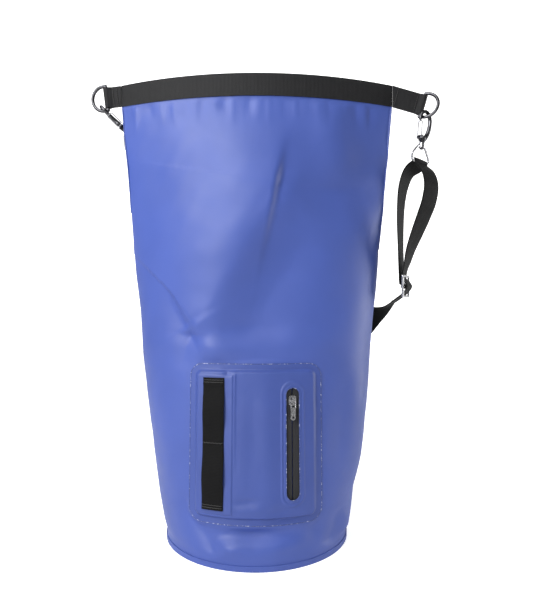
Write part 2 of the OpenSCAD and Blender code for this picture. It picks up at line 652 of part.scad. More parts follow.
slider_mid = [185, 1, 303];
slider_angle = 62;
slider_out = [sin(slider_angle), -cos(slider_angle), 0];
slider_reach = 12.5;
slider_r = 1.5;
slider_half = web_w / 2 + slider_r + 0.3;
eye_mid = slider_r + 0.2 + web_t / 2;

// The far strand rises from the slider's middle bar, turns over the stirrup and comes down near
loop_path = curve(concat(
  [climb(slider_mid + [0, 0, 2.2] - (eye_mid + 0.9) * slider_out, slider_angle),
   climb(slider_mid + [0, 0, 8] - 5 * slider_out, slider_angle),
   climb([180.5, 5, 322], 62), climb([180, 7, 350], 62), climb([180, 9, 378], 59),
   climb([181, 10.5, 404], 56), climb([183.5, 9, 427], 50), climb([189, 4.5, 444], 44), off_bar(-1)],
  [for (t = [-1:0.5:1]) round_bar(t)],
  [off_bar(1), fall([208.5, -14, 441], 36), fall([211, -18, 425], 32), fall([208.5, -17.5, 406], 32),
   fall([203, -14, 388], 36), fall([196, -10, 368], 42), fall([189.5, -5.5, 348], 50),
   fall([186, -2, 331], 58), fall(slider_mid + [0, 0, 16] - 1.8 * slider_out, slider_angle),
   fall(slider_mid + [0, 0, 10] - 2.6 * slider_out, slider_angle),
   fall(slider_mid + [0, 0, 5.6] + 1.6 * slider_out, slider_angle),
   fall(slider_mid + 4.6 * slider_out, slider_angle),
   fall(slider_mid + [0, 0, -5.6] + 1.6 * slider_out, slider_angle),
   fall(slider_mid + [0, 0, -10] - 2.6 * slider_out, slider_angle),
   fall(slider_mid + [0, 0, -12.8] - 6.2 * slider_out, slider_angle)]), 4);

module strap_loop() color(web_colour) ribbon(loop_path);

// The sewn end of the webbing, folded round the slider's middle bar
module strap_sewn_end() {
  color(web_colour) at_slider() rotate([0, 90, 0]) difference() {
    cylinder(r = eye_mid + web_t / 2, h = web_w, center = true, $fn = 32);
    cylinder(r = eye_mid - web_t / 2, h = web_w + 2, center = true, $fn = 32);
  }
}
module at_slider()
  multmatrix(frame_of([0, 0, 1], [cos(slider_angle), sin(slider_angle), 0], slider_mid)) children();
module strap_slider() {
  color(bright_colour) at_slider() union() {
    for (z = [-slider_reach, 0, slider_reach]) link([-slider_half, 0, z], [slider_half, 0, z], slider_r);
    for (s = [-1, 1]) link([s * slider_half, 0, -slider_reach], [s * slider_half, 0, slider_reach], slider_r);
  }
}

// The run behind the bag, from below the slider to the left stirrup
left_bar = left_origin + bar_z * left_up;
left_side = square_to(left_web, left_up);
behind = 5;
run_end = left_bar - 27 * left_up;
left_face = cross(left_side, left_up);
function with_face(p, n) = concat(p, n);
function rest_on_back(x, z) =
  let (n = front_normal(x, z)) with_face(on_back(x, z, behind), [n[0], -n[1], 0]);
run_path = curve([
  with_face(slider_mid + [0, 0, -16.2] - 10.6 * slider_out, [-0.52, 0.28, 0.81]),
  with_face(slider_mid + [0, 0, -19.4] - 15.5 * slider_out, [-0.52, 0.28, 0.81]),
  with_face(slider_mid + [0, 0, -22.6] - 20.4 * slider_out, [-0.52, 0.28, 0.81]),
  [152, 32, 266, 0.1, 0.9, 0.35],
  rest_on_back(120, 232), rest_on_back(80, 203), rest_on_back(40, 192), rest_on_back(0, 204),
  rest_on_back(-35, 238), rest_on_back(-65, 288), rest_on_back(-90, 345), rest_on_back(-108, 395),
  rest_on_back(-122, 438), with_face(run_end, left_face * sign(left_face[1]))], 4);
module strap_run() color(web_colour) ribbon(run_path);

// The sewn left end: over the stirrup's bar and back onto itself
module strap_left_end() {
  // at turns a about the bar the webbing lies r away from it and looks outwards
  lay = function (a, r) let (n = sin(a) * left_face + cos(a) * left_up) concat(left_bar + r * n, n);
  leg = function (s, d, off) concat(left_bar - d * left_up + s * (web_t / 2 + off) * left_face, s * left_face);
  path = concat([leg(1, 19.5, 0.15), leg(1, 12, 0.15), leg(1, 6, 0.75)],
    [for (a = [90:-30:-90]) lay(a, wrap_r)], [leg(-1, 6, 0.75), leg(-1, 12, 0.15), leg(-1, 19.5, 0.15)]);
  color(web_colour) ribbon(path);
}
module strap_end_stitching() {
  color(thread_colour) for (d = [12.5, 17]) for (x = [-9:2.5:9]) for (s = [-1, 1])
    translate(left_bar - d * left_up + x * left_side + s * (web_t + 0.6) * left_face)
      multmatrix(frame_of(left_side, left_up, [0, 0, 0])) cylinder(r = 0.35, h = 1.7, center = true, $fn = 16);
}

bag_tube();
back_seam_tape();
base_disc();
base_seam_tape();
front_band();
back_band();
front_stiffener();
back_stiffener();
left_tab();
right_tab();
left_tab_stitching();
right_tab_stitching();
pocket_panel();
pocket_reinforcement();
daisy_chain();
daisy_bartacks();
zipper_window_weld();
zipper_tape_left();
zipper_tape_right();
zipper_coil();
zipper_stops();
zipper_slider();
zipper_pull();
left_d_ring();
left_hook();
left_gate();
left_gate_pin();
left_swivel_post();
left_stirrup();
right_d_ring();
right_hook();
right_gate();
right_gate_pin();
right_swivel_post();
right_stirrup();
strap_loop();
strap_sewn_end();
strap_slider();
strap_run();
strap_left_end();
strap_end_stitching();
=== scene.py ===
"""Dry bag: the soft shell, pocket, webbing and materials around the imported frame."""
import math

import bpy
import numpy as np
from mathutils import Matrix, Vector


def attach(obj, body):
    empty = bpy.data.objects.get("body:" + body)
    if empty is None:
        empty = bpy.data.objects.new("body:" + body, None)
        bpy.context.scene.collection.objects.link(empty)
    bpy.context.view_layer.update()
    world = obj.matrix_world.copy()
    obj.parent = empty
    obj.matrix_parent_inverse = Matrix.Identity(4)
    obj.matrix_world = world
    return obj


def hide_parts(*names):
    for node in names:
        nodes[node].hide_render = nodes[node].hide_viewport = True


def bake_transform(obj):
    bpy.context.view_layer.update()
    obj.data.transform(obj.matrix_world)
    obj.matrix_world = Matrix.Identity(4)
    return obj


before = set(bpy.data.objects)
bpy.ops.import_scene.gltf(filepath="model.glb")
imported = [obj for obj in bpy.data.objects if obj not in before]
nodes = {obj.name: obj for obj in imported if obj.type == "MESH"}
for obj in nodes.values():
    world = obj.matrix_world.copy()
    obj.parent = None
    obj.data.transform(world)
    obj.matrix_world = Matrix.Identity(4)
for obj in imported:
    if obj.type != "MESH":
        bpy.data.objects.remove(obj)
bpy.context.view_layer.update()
MM = 0.001

# ---- Camera, world and lights ------------------------------------------------------------------


def add_camera():
    """Stands 0.70 m in front of the bag, at half its height, almost level."""
    data = bpy.data.cameras.new("camera")
    data.lens = 33.8
    data.clip_start = 0.01
    camera = bpy.data.objects.new("camera", data)
    camera.location = (0.0149, -0.70, 0.293)
    camera.rotation_euler = (math.radians(90 - 0.57), 0, 0)
    bpy.context.scene.collection.objects.link(camera)
    bpy.context.scene.camera = camera


def add_area(name, place, aim, size, watts):
    data = bpy.data.lights.new(name, "AREA")
    data.shape = "RECTANGLE"
    data.size, data.size_y = size
    data.energy = watts
    light = bpy.data.objects.new(name, data)
    light.location = place
    light.rotation_euler = (Vector(aim) - Vector(place)).to_track_quat("-Z", "Y").to_euler()
    bpy.context.scene.collection.objects.link(light)


def add_world(strength):
    world = bpy.data.worlds.new("studio")
    bpy.context.scene.world = world
    world.use_nodes = True
    world.node_tree.nodes["Background"].inputs[0].default_value = (1, 1, 1, 1)
    world.node_tree.nodes["Background"].inputs[1].default_value = strength


add_camera()
add_world(0.26)
add_area("top", (-0.75, -0.75, 1.8), (0, 0, 0.28), (1.2, 1.2), 26)
add_area("key", (-1.15, -1.55, 1.10), (0, 0, 0.30), (0.8, 0.9), 31)
add_area("edge", (1.5, 0.25, 0.30), (0.1, 0, 0.15), (0.35, 0.9), 11)
bpy.context.scene.view_settings.view_transform = "Standard"


# ---- Material building blocks --------------------------------------------------------------------


class Shader:
    """A node material with short calls for the nodes that this file uses."""

    def __init__(self, name):
        self.mat = bpy.data.materials.new(name)
        self.mat.use_nodes = True
        self.tree = self.mat.node_tree
        self.bsdf = self.tree.nodes["Principled BSDF"]

    def set(self, **values):
        for key, value in values.items():
            self.bsdf.inputs[key.replace("_", " ")].default_value = value

    def add(self, kind, **values):
        node = self.tree.nodes.new("ShaderNode" + kind)
        for key, value in values.items():
            if key in node.inputs:
                node.inputs[key].default_value = value
            else:
                setattr(node, key, value)
        return node

    def link(self, a, out, b, into):
        self.tree.links.new(a.outputs[out], b.inputs[into])

    def noise(self, coords, scale, detail=3.0, rough=0.55):
        node = self.add("TexNoise", Scale=scale, Detail=detail, Roughness=rough)
        self.link(coords, "Vector", node, "Vector")
        return node

    def ramp(self, source, out, stops):
        node = self.add("ValToRGB")
        while len(node.color_ramp.elements) < len(stops):
            node.color_ramp.elements.new(0.5)
        for element, (place, colour) in zip(node.color_ramp.elements, stops):
            element.position = place
            element.color = colour if len(colour) == 4 else (*colour, 1)
        self.link(source, out, node, "Fac")
        return node

    def maths(self, operation, a, b):
        node = self.add("Math", operation=operation)
        for i, value in enumerate((a, b)):
            if isinstance(value, tuple):
                self.link(value[0], value[1], node, i)
            else:
                node.inputs[i].default_value = value
        return node

    def bump(self, height, out, distance, strength=1.0, before=None):
        node = self.add("Bump", Distance=distance, Strength=strength)
        self.link(height, out, node, "Height")
        if before:
            self.link(before, "Normal", node, "Normal")
        return node

    def coords(self, source="Object"):
        tex = self.add("TexCoord")
        mapping = self.add("Mapping")
        self.link(tex, source, mapping, "Vector")
        return mapping


WAVE_PITCH = 0.31416  # a wave texture's scale times the pitch of its bands in metres


def grey(v):
    return (v, v, v, 1)


def tarpaulin(name, shade=1.0):
    """Coated fabric: smooth satin skin over a faint woven scrim, mottled a little."""
    s = Shader(name)
    base = np.array([0.052, 0.088, 0.33]) * shade
    place = s.coords()
    mottle = s.noise(place, 9.0, 4.0)
    tone = s.ramp(mottle, "Fac", [(0.3, tuple(base * 0.93)), (0.7, tuple(base * 1.07))])
    s.link(tone, "Color", s.bsdf, "Base Color")
    patches = s.noise(place, 26.0, 5.0)
    rough = s.ramp(patches, "Fac", [(0.25, grey(0.42)), (0.75, grey(0.52))])
    s.link(rough, "Color", s.bsdf, "Roughness")
    uv = s.coords("UV")
    scrim = []
    for axis in ("X", "Y"):
        wave = s.add("TexWave", wave_type="BANDS", bands_direction=axis, Scale=WAVE_PITCH / 0.0013)
        wave.inputs["Distortion"].default_value = 0.0
        s.link(uv, "Vector", wave, "Vector")
        scrim.append(wave)
    weave = s.maths("MULTIPLY", (scrim[0], "Fac"), (scrim[1], "Fac"))
    grain = s.noise(place, 420.0, 2.0)
    fine = s.bump(weave, "Value", 0.00006, 0.5)
    bumped = s.bump(grain, "Fac", 0.00005, 0.5, fine)
    s.link(bumped, "Normal", s.bsdf, "Normal")
    s.set(Specular_IOR_Level=0.42)
    return s.mat


def webbing(name, rib, tone=1.0, source="UV", along="Y", gloss=0.3):
    """Ribbed webbing: cross ribs at a pitch of rib metres along it, and a finer lengthwise weave."""
    s = Shader(name)
    uv = s.coords(source)
    ribs = s.add("TexWave", wave_type="BANDS", bands_direction=along, Scale=WAVE_PITCH / rib)
    across = "X" if along != "X" else "Z"
    lines = s.add("TexWave", wave_type="BANDS", bands_direction=across, Scale=WAVE_PITCH / 0.0011)
    for wave in (ribs, lines):
        wave.inputs["Distortion"].default_value = 0.25
        wave.inputs["Detail Scale"].default_value = 3.0
        s.link(uv, "Vector", wave, "Vector")
    cloth = s.maths("MULTIPLY", (ribs, "Fac"), (lines, "Fac"))
    low, high = 0.006 * tone, 0.022 * tone
    colour = s.ramp(cloth, "Value", [(0.0, (low, low, low * 1.12)), (1.0, (high, high, high * 1.08))])
    s.link(colour, "Color", s.bsdf, "Base Color")
    fuzz = s.noise(s.coords(), 900.0, 2.0)
    first = s.bump(cloth, "Value", 0.00028, 0.9)
    second = s.bump(fuzz, "Fac", 0.00008, 0.5, first)
    s.link(second, "Normal", s.bsdf, "Normal")
    s.set(Roughness=0.6, Specular_IOR_Level=gloss, Sheen_Weight=0.1 * gloss, Sheen_Roughness=0.4)
    return s.mat


def metal(name, colour, rough, wear=0.0):
    """Plated metal with uneven polish and, where worn, a lighter tone."""
    s = Shader(name)
    place = s.coords()
    patches = s.noise(place, 160.0, 4.0)
    base = np.array(colour)
    worn = np.minimum(base * (1.1 + wear), 1)
    tone = s.ramp(patches, "Fac", [(0.35, tuple(base * 0.88)), (0.68, tuple(worn))])
    s.link(tone, "Color", s.bsdf, "Base Color")
    polish = s.noise(place, 700.0, 3.0)
    rough_ramp = s.ramp(polish, "Fac", [(0.3, grey(rough * 0.75)), (0.7, grey(rough * 1.3))])
    s.link(rough_ramp, "Color", s.bsdf, "Roughness")
    s.link(s.bump(patches, "Fac", 0.00006, 0.35), "Normal", s.bsdf, "Normal")
    s.set(Metallic=1.0)
    return s.mat


def plastic(name, tone):
    s = Shader(name)
    grain = s.noise(s.coords(), 600.0, 3.0)
    colour = s.ramp(grain, "Fac", [(0.3, grey(tone * 0.85)), (0.7, grey(tone * 1.15))])
    s.link(colour, "Color", s.bsdf, "Base Color")
    s.link(s.bump(grain, "Fac", 0.00006, 0.5), "Normal", s.bsdf, "Normal")
    s.set(Roughness=0.48)
    return s.mat


def thread(name):
    """Twisted thread: a tight diagonal twist in the bump."""
    s = Shader(name)
    twist = s.add("TexWave", wave_type="BANDS", bands_direction="DIAGONAL", Scale=WAVE_PITCH / 0.0007)
    s.link(s.coords(), "Vector", twist, "Vector")
    colour = s.ramp(twist, "Fac", [(0.0, grey(0.008)), (1.0, grey(0.03))])
    s.link(colour, "Color", s.bsdf, "Base Color")
    s.link(s.bump(twist, "Fac", 0.00012, 0.8), "Normal", s.bsdf, "Normal")
    s.set(Roughness=0.5)
    return s.mat


M = {
    "skin": tarpaulin("coated_fabric"),
    "panel": tarpaulin("coated_fabric_pocket", 0.84),
    # The inner faces: the same fabric painted 0.8 times as dark, as painted shade inside the bag.
    "inside": tarpaulin("coated_fabric_inside_painted_shade", 0.8),
    "band": webbing("band_webbing", 0.0016, 1.0, "Object", "X", 0.24),
    "strap": webbing("strap_webbing", 0.0014, 0.3, gloss=0.13),
    "chain": webbing("chain_webbing", 0.0015, 0.28, gloss=0.13),
    "strap_cad": webbing("strap_end_webbing", 0.0014, 0.3, "Object", "Z", 0.13),
    "tape": webbing("zip_tape", 0.0009, 2.4, "Object", "Z"),
    "dark_metal": metal("gunmetal", (0.06, 0.06, 0.065), 0.24, 0.5),
    "bright_metal": metal("nickel", (0.56, 0.56, 0.58), 0.24),
    "thread": thread("bonded_thread"),
    "strip": plastic("strip_plastic", 0.03),
    "teeth": plastic("zip_teeth", 0.035),
}


# ---- Shape of the tube, in millimetres -----------------------------------------------------------
# The tube is round up to FOOT, and its section no longer changes above PRISM.
BASE_R, BAG_H, MOUTH_W, FOOT, PRISM = 110.0, 550.0, 333.0, 15.0, 520.0
WALL = 0.8
BACK_LIMIT = 1.6  # how far the back may swell, so that it stays clear of the strap
POCKET_Z, POCKET_H, POCKET_W, CORNER_R, FLANGE, LIFT = 46.0, 170.0, 146.0, 14.0, 6.0, 4.0
ZIP_X, ZIP_Z, ZIP_L, ZIP_W = 40.6, 72.0, 118.0, 14.0


def ease(t):
    t = np.clip(t, 0, 1)
    return t * t * (3 - 2 * t)


def mix(a, b, t):
    return a + (b - a) * t


def rise(z):
    return np.clip((z - FOOT) / (PRISM - FOOT), 0, 1)


def half_width(z):
    return mix(BASE_R, MOUTH_W / 2, rise(z) ** 0.72)


def pointing(z):
    return 1 + ease((rise(z) - 0.35) / 0.65)


def section(a, b, q, angles):
    s = np.sin(angles)
    return np.stack([a * np.cos(angles), b * np.sign(s) * np.abs(s) ** q], -1)


def girth(a, b, q):
    ring = section(a, b, q, np.radians(np.arange(73) * 5.0))
    return np.linalg.norm(np.diff(ring, axis=0), axis=1).sum()


def find_depth(z):
    """Half the depth at which this level has the girth of the base, because fabric can't stretch."""
    low, high, full = 5.0, BASE_R + 1, girth(BASE_R, BASE_R, 1)
    for _ in range(16):
        middle = (low + high) / 2
        if girth(half_width(z), middle, pointing(z)) > full:
            high = middle
        else:
            low = middle
    return (low + high) / 2


LEVELS = np.concatenate([[0], np.linspace(FOOT, PRISM, 27), [BAG_H]])
DEPTHS = np.array([find_depth(z) for z in LEVELS])


def half_depth(z):
    return np.interp(z, LEVELS, DEPTHS)


def front_y(x, z):
    t = np.clip(1 - (x / half_width(z)) ** 2, 0, 1)
    return -half_depth(z) * t ** (pointing(z) / 2)


def front_normal(x, z):
    slope = front_y(x + 0.5, z) - front_y(x - 0.5, z)
    size = np.sqrt(slope**2 + 1)
    return np.stack([slope / size, -1 / size, np.zeros_like(slope)], -1)


# ---- Folds: every field gives millimetres outwards at (x, z) ------------------------------------


def smooth_path(points, steps):
    """A Catmull-Rom curve through rows of any length, with this many steps between neighbours."""
    p = np.asarray(points, float)
    p = np.vstack([p[0], p, p[-1]])
    out = []
    for i in range(1, len(p) - 2):
        a, b, c, d = p[i - 1 : i + 3]
        for t in np.arange(steps) / steps:
            bend = (2 * a - 5 * b + 4 * c - d) * t * t / 2
            out.append(b + (c - a) * t / 2 + bend + (3 * b - a - 3 * c + d) * t**3 / 2)
    return np.vstack([out, p[-2]])


def fold(x, z, points, height, left, right, crest=3.0, fade=(0.25, 0.25)):
    """A crease along a path, height on its crest and falling over left and right on its two sides."""
    path = smooth_path(points, 36)
    along = np.gradient(path, axis=0)
    reach = 2.7 * max(left, right)
    close = (x > path[:, 0].min() - reach) & (x < path[:, 0].max() + reach)
    close &= (z > path[:, 1].min() - reach) & (z < path[:, 1].max() + reach)
    total = np.zeros_like(x)
    if not close.any():
        return total
    dx = x[close][:, None] - path[:, 0]
    dz = z[close][:, None] - path[:, 1]
    near = np.argmin(dx**2 + dz**2, axis=-1)
    rows = np.arange(len(near))
    dx, dz = dx[rows, near], dz[rows, near]
    distance = np.hypot(dx, dz)
    on_left = along[near, 0] * dz - along[near, 1] * dx > 0
    width = np.where(on_left, left, right)
    t = near / (len(path) - 1)
    taper = ease(t / fade[0]) * ease((1 - t) / fade[1])
    fall = np.exp(-(np.sqrt(distance**2 + crest**2) - crest) / width)
    total[close] = height * taper * fall * ease(1.15 - distance / (2.3 * width))
    return total


def dent(x, z, cx, cz, rx, rz, height, turn=0.0):
    """A soft oval swelling, or a hollow where height is negative; turn leans its top to the right."""
    c, s = math.cos(math.radians(turn)), math.sin(math.radians(turn))
    u = ((x - cx) * c - (z - cz) * s) / rx
    v = ((x - cx) * s + (z - cz) * c) / rz
    return height * np.exp(-(u * u + v * v))


def ripple(x, z, length, height, seed, count=9):
    """Irregular waves about length long."""
    rng = np.random.default_rng(seed)
    total = np.zeros_like(x)
    for _ in range(count):
        angle, phase = rng.uniform(0, math.pi), rng.uniform(0, 2 * math.pi)
        k = 2 * math.pi / (length * rng.uniform(0.7, 1.5))
        total += np.cos(k * (x * math.cos(angle) + z * math.sin(angle)) + phase)
    return height * total / math.sqrt(count)


def puckers(x, z, seed, strength=1.0):
    """Small gathers that hang from the mouth band and fade downwards."""
    rng = np.random.default_rng(seed)
    total = np.zeros_like(x)
    place = -148.0
    while place < 150:
        reach, lean = rng.uniform(14, 40), rng.uniform(-6, 6)
        tall = strength * rng.uniform(0.5, 1.1) * rng.choice([-1.2, 1.0])
        path = [(place + lean, 520 - reach), (place + lean * 0.3, 520 - reach * 0.4), (place, 523)]
        total += fold(x, z, path, tall, rng.uniform(2.5, 6), rng.uniform(2.5, 6), 1.5, (0.7, 0.02))
        place += rng.uniform(9, 21)
    return total


def front_folds(x, z):
    """The pull between the two pinches, the valley to the right side, the side folds and the foot."""
    d = fold(x, z, [(-79, 252), (-62, 266), (-40, 305), (-13, 356), (13, 400), (21, 421), (20, 452), (15, 496)],
             9.5, 75, 34, 8, (0.12, 0.3))
    d += dent(x, z, 16, 304, 44, 74, -9.5, 28)
    d += dent(x, z, 60, 352, 34, 52, -2.0, 20)
    d += fold(x, z, [(20, 421), (58, 415), (110, 417), (168, 425)], -9.0, 34, 60, 6.0, (0.12, 0.45))
    d += dent(x, z, 92, 474, 66, 24, 6.5, 80)
    d += dent(x, z, -20, 455, 34, 50, 2.0)
    d += fold(x, z, [(88, 285), (74, 355), (48, 398), (22, 420)], 4.5, 40, 26, 9, (0.5, 0.25))
    d += fold(x, z, [(-79, 252), (-96, 285), (-110, 335), (-118, 385)], -2.6, 22, 44, 8, (0.1, 0.6))
    d += fold(x, z, [(-85, 205), (-81, 232), (-79, 252)], -3.0, 11, 16, 2.5, (0.5, 0.2))
    d += fold(x, z, [(-79, 252), (-60, 248), (-40, 252)], -2.5, 16, 14, 3, (0.2, 0.6))
    d += dent(x, z, -40, 232, 46, 13, 4.5)
    d += dent(x, z, 52, 238, 40, 16, 1.8)
    d += dent(x, z, -2, 256, 30, 11, -2.5)
    d += fold(x, z, [(112, 60), (120, 130), (126, 230)], 5.0, 24, 26, 8, (0.35, 0.5))
    d += fold(x, z, [(93, 85), (97, 140), (103, 215)], -3.6, 18, 16, 6, (0.35, 0.5))
    d += fold(x, z, [(-92, 60), (-98, 130), (-110, 210)], 2.0, 14, 14, 8, (0.35, 0.5))
    d += dent(x, z, -3, 36, 30, 6.5, -6.5)
    d += dent(x, z, -24, 24, 16, 6, 3.2)
    d += dent(x, z, 28, 25, 20, 7, 2.8) + dent(x, z, 66, 34, 10, 12, -3.0, -20)
    d += fold(x, z, [(-38, 12), (-60, 38), (-86, 74)], -4.0, 10, 18, 2.5, (0.3, 0.35))
    d += fold(x, z, [(79, 9), (90, 31), (94, 52)], -3.2, 12, 12, 2.5, (0.3, 0.4))
    d += fold(x, z, [(103, 14), (103, 31), (101, 48)], 3.4, 7, 8, 2, (0.3, 0.4))
    d += dent(x, z, -122, 440, 26, 60, -1.5)
    return d + puckers(x, z, 4)


def back_folds(x, z):
    """Long slack folds down the back, kept shallow where the strap lies."""
    d = fold(x, z, [(70, 240), (58, 300), (30, 360), (-8, 405), (-30, 455), (-34, 498)],
             -5.0, 30, 46, 6, (0.3, 0.2))
    d += fold(x, z, [(-8, 405), (-60, 412), (-118, 420), (-166, 428)], -4.0, 40, 24, 3, (0.1, 0.5))
    d += dent(x, z, -30, 300, 36, 60, -4.5, -20)
    d += dent(x, z, 62, 380, 40, 46, -4.0, 15)
    d += dent(x, z, 10, 130, 50, 40, -3.0)
    d += fold(x, z, [(46, 15), (30, 44), (28, 80)], -2.5, 8, 12, 2, (0.3, 0.5))
    d += fold(x, z, [(-70, 14), (-58, 48), (-60, 100)], -2.2, 10, 8, 2, (0.3, 0.5))
    return d + puckers(x, z, 11)


def pocket_distance(x, z):
    """Distance outside the pocket's rounded outline, negative inside it."""
    dx = np.abs(x) - (POCKET_W / 2 - CORNER_R)
    dz = np.abs(z - POCKET_Z - POCKET_H / 2) - (POCKET_H / 2 - CORNER_R)
    outside = np.hypot(np.maximum(dx, 0), np.maximum(dz, 0))
    return outside + np.minimum(np.maximum(dx, dz), 0) - CORNER_R


def displacement(x, y, z):
    waves = ripple(x + y * 0.7, z, 110, 0.7, 21) + ripple(x - y * 0.6, z, 40, 0.16, 22)
    front = ease(0.5 - y / 36)
    free = np.where(y < 0, ease(pocket_distance(x, z) / 6), 1)
    total = front * front_folds(x, z) + (1 - front) * back_folds(x, z) + waves
    total = np.where(y > 0, np.minimum(total, BACK_LIMIT), total)
    return total * free * ease((z - 8) / 12) * ease((524 - z) / 6)


# ---- Mesh building ---------------------------------------------------------------------------------


def make_mesh(name, points, faces, uvs=None):
    """An object from points in millimetres; uvs are per point, in millimetres too."""
    mesh = bpy.data.meshes.new(name)
    mesh.from_pydata((np.asarray(points) * MM).tolist(), [], [list(map(int, f)) for f in faces])
    if uvs is not None:
        layer = mesh.uv_layers.new(name="UVMap")
        index = np.empty(len(mesh.loops), int)
        mesh.loops.foreach_get("vertex_index", index)
        layer.data.foreach_set("uv", (np.asarray(uvs)[index] * MM).astype(np.float32).ravel())
    mesh.polygons.foreach_set("use_smooth", [True] * len(mesh.polygons))
    mesh.validate()
    obj = bpy.data.objects.new(name, mesh)
    bpy.context.scene.collection.objects.link(obj)
    return obj


def grid_faces(rows, columns, closed=False):
    """Quads between rows of points; closed joins each row's last point to its first."""
    i, j = np.meshgrid(np.arange(rows - 1), np.arange(columns if closed else columns - 1), indexing="ij")
    k = (j + 1) % columns
    low, high = i * columns, (i + 1) * columns
    return np.stack([low + j, low + k, high + k, high + j], -1).reshape(-1, 4)


def paint(obj, material):
    obj.data.materials.clear()
    obj.data.materials.append(material)


def solidify(obj, thickness):
    mod = obj.modifiers.new("thickness", "SOLIDIFY")
    mod.thickness = thickness * MM
    mod.offset = -1.0
    return mod


def add_shell():
    """The tube, each ring from the right corner round the back and the left corner to the front."""
    around, up = 336, 232
    angles = 2 * np.pi * np.arange(around) / around
    zs = np.concatenate([[0, 3, 6], np.linspace(9, 521, up), [525, 535, BAG_H]])
    rings = []
    for z in zs:
        ring = section(half_width(z), half_depth(z), pointing(z), angles)
        tangent = np.roll(ring, -1, 0) - np.roll(ring, 1, 0)
        tangent /= np.linalg.norm(tangent, axis=1)[:, None]
        normal = np.stack([tangent[:, 1], -tangent[:, 0]], -1)
        out = displacement(ring[:, 0], ring[:, 1], np.full(around, float(z)))
        ring = ring + normal * out[:, None]
        rings.append(np.column_stack([ring, np.full(around, z)]))
    points = np.vstack(rings)
    uvs = []
    for ring, z in zip(rings, zs):
        step = np.linalg.norm(np.diff(np.vstack([ring, ring[:1]]), axis=0), axis=1)
        along = np.concatenate([[0], np.cumsum(step)[:-1]])
        uvs.append(np.column_stack([along, np.full(around, z)]))
    obj = make_mesh("bag_shell", points, grid_faces(len(zs), around, True), np.vstack(uvs))
    obj.data.materials.append(M["skin"])
    # The second slot, on the inner faces, holds the darker copy of the fabric: painted shade.
    obj.data.materials.append(M["inside"])
    mod = solidify(obj, WALL)
    mod.material_offset = 1
    mod.material_offset_rim = 0
    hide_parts("bag_tube")
    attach(obj, "bag")


add_shell()


# ---- Pocket ----------------------------------------------------------------------------------------
POCKET_TOP = POCKET_Z + POCKET_H
PANEL_T, PATCH_T, SKIN_GAP = 0.8, 0.9, 0.05
PANEL_BLEND = 3.4  # width of the panel's rounded step, where it rises from the flange
CHAIN_X, CHAIN_W = -45.2, 23.0


def outline_half(z):
    d = np.maximum(0, np.maximum(POCKET_Z + CORNER_R - z, z - (POCKET_TOP - CORNER_R)))
    return POCKET_W / 2 - CORNER_R + np.sqrt(np.maximum(0, CORNER_R**2 - np.minimum(d, CORNER_R) ** 2))


def raised(x, z, blend):
    inside = -pocket_distance(x, z) - FLANGE
    return ease(inside / blend)


def panel_surface(x, z, lift, blend=6.0):
    """The panel's skin: a flat flange, and a raised middle that runs straight up the bag."""
    low_z, high_z = POCKET_Z + FLANGE, POCKET_TOP - FLANGE
    straight = mix(front_y(x, low_z), front_y(x, high_z), (z - low_z) / (high_z - low_z))
    low = front_y(x, z)
    high = np.minimum(straight, low) - LIFT
    y = mix(low, high, raised(x, z, blend))
    return np.stack([x, y, z], -1) + (SKIN_GAP + np.asarray(lift))[..., None] * front_normal(x, z)


def stadium(x, z, width, height):
    """Distance outside an upright rounded slot round the zip, negative inside."""
    r = width / 2
    reach = height / 2 - r
    dz = np.maximum(np.abs(z - ZIP_Z - ZIP_L / 2) - reach, 0)
    return np.hypot(x - ZIP_X, dz) - r


def panel_relief(x, z):
    """Small steps, ridges and dents of the panel, in millimetres outwards."""
    patch = np.maximum(np.abs(x + 44.5) - 20.5, np.abs(z - 131) - 74)
    d = PATCH_T * ease(-patch / 1.6)
    d += fold(x, z, [(-22.3, 92), (-22.6, 150), (-22.5, 207)], 0.8, 4, 1.2, 0.4, (0.5, 0.05))
    welded = stadium(x, z, ZIP_W + 13, ZIP_L + 16)
    d += 0.75 * ease(-welded / 1.4)
    d -= 0.45 * np.exp(-((stadium(x, z, ZIP_W + 6, ZIP_L + 7) / 0.9) ** 2))
    d += dent(x, z, -9, 71, 12, 4.5, -1.5) + dent(x, z, -9, 63, 16, 4, 0.8)
    d += dent(x, z, 14, 120, 9, 60, 0.9) + dent(x, z, -4, 140, 8, 50, -0.7)
    d += dent(x, z, -31, 206, 4, 3, -1.6) + dent(x, z, 26, 60, 12, 6, -0.8)
    d += dent(x, z, -60, 70, 6, 16, -0.7) + dent(x, z, -58, 160, 4, 30, 0.5)
    d += ripple(x, z, 42, 0.22, 31) + ripple(x, z, 14, 0.05, 32)
    return d * ease((-pocket_distance(x, z) - 2) / 5)


